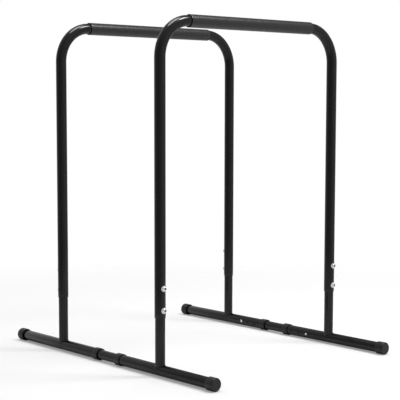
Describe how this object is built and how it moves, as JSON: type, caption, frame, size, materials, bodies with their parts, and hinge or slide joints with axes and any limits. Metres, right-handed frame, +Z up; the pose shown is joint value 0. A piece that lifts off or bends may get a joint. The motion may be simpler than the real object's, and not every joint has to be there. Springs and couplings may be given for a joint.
{
  "type": "dip station",
  "caption": "Free-standing dip station: bent bars with foam grips, bolted to uprights on telescoping feet, whose snap buttons set the width between the bars.",
  "frame": {"origin": "on the floor, midway between the two bars and midway between the front and back feet", "axes": "+X from the left bar to the right bar, +Y from front to back along the bars, +Z up"},
  "size_m": [0.929, 0.744, 1.0138],
  "materials": {
    "powder_coat": "black satin powder coat on steel tube",
    "foam_grip": "matte charcoal foam",
    "black_plastic": "moulded black plastic",
    "bright_steel": "bright plated steel",
    "spring_steel": "plain steel"
  },
  "bodies": {
    "left_frame": {"left_bar": "powder_coat", "left_grip": "foam_grip", "front_left_upright": "powder_coat", "front_left_foot_tube": "powder_coat", "front_left_end_cap": "black_plastic", "front_left_collar": "black_plastic", "front_left_lower_bolt": "bright_steel", "front_left_lower_washer": "bright_steel", "front_left_lower_nut": "spring_steel", "front_left_upper_bolt": "bright_steel", "front_left_upper_washer": "bright_steel", "front_left_upper_nut": "spring_steel", "back_left_upright": "powder_coat", "back_left_foot_tube": "powder_coat", "back_left_end_cap": "black_plastic", "back_left_collar": "black_plastic", "back_left_lower_bolt": "bright_steel", "back_left_lower_washer": "bright_steel", "back_left_lower_nut": "spring_steel", "back_left_upper_bolt": "bright_steel", "back_left_upper_washer": "bright_steel", "back_left_upper_nut": "spring_steel"},
    "right_frame": {"right_bar": "powder_coat", "right_grip": "foam_grip", "front_right_upright": "powder_coat", "front_right_foot_tube": "powder_coat", "front_right_end_cap": "black_plastic", "front_right_collar": "black_plastic", "front_right_lower_bolt": "bright_steel", "front_right_lower_washer": "bright_steel", "front_right_lower_nut": "spring_steel", "front_right_upper_bolt": "bright_steel", "front_right_upper_washer": "bright_steel", "front_right_upper_nut": "spring_steel", "back_right_upright": "powder_coat", "back_right_foot_tube": "powder_coat", "back_right_end_cap": "black_plastic", "back_right_collar": "black_plastic", "back_right_lower_bolt": "bright_steel", "back_right_lower_washer": "bright_steel", "back_right_lower_nut": "spring_steel", "back_right_upper_bolt": "bright_steel", "back_right_upper_washer": "bright_steel", "back_right_upper_nut": "spring_steel"},
    "front_connector": {"front_connector": "powder_coat", "front_left_button_spring": "spring_steel", "front_right_button_spring": "spring_steel"},
    "back_connector": {"back_connector": "powder_coat", "back_left_button_spring": "spring_steel", "back_right_button_spring": "spring_steel"},
    "front_left_button": {"front_left_snap_button": "bright_steel"},
    "front_right_button": {"front_right_snap_button": "bright_steel"},
    "back_left_button": {"back_left_snap_button": "bright_steel"},
    "back_right_button": {"back_right_snap_button": "bright_steel"}
  },
  "joints": [
    {"name": "front_connector_slide", "type": "slide", "parent": "left_frame", "child": "front_connector", "axis": [1, 0, 0], "range_m": [0, 0.064], "deforming": ["front_left_snap_button"]},
    {"name": "back_connector_slide", "type": "slide", "parent": "left_frame", "child": "back_connector", "axis": [1, 0, 0], "range_m": [0, 0.064], "deforming": ["back_left_snap_button"]},
    {"name": "right_frame_slide", "type": "slide", "parent": "front_connector", "child": "right_frame", "axis": [1, 0, 0], "range_m": [0, 0.064], "deforming": ["front_right_snap_button", "back_right_snap_button"]},
    {"name": "front_left_button_press", "type": "slide", "parent": "front_connector", "child": "front_left_button", "axis": [0, -1, 0], "range_m": [0, 0.0045], "stiffness_N_per_m": 3000, "springref_m": -0.003, "deforming": ["front_left_button_spring"]},
    {"name": "front_right_button_press", "type": "slide", "parent": "front_connector", "child": "front_right_button", "axis": [0, -1, 0], "range_m": [0, 0.0045], "stiffness_N_per_m": 3000, "springref_m": -0.003, "deforming": ["front_right_button_spring"]},
    {"name": "back_left_button_press", "type": "slide", "parent": "back_connector", "child": "back_left_button", "axis": [0, 1, 0], "range_m": [0, 0.0045], "stiffness_N_per_m": 3000, "springref_m": -0.003, "deforming": ["back_left_button_spring"]},
    {"name": "back_right_button_press", "type": "slide", "parent": "back_connector", "child": "back_right_button", "axis": [0, 1, 0], "range_m": [0, 0.0045], "stiffness_N_per_m": 3000, "springref_m": -0.003, "deforming": ["back_right_button_spring"]}
  ],
  "couplings": [
    {"joint": "back_connector_slide", "follows": "front_connector_slide", "ratio": 1}
  ]
}
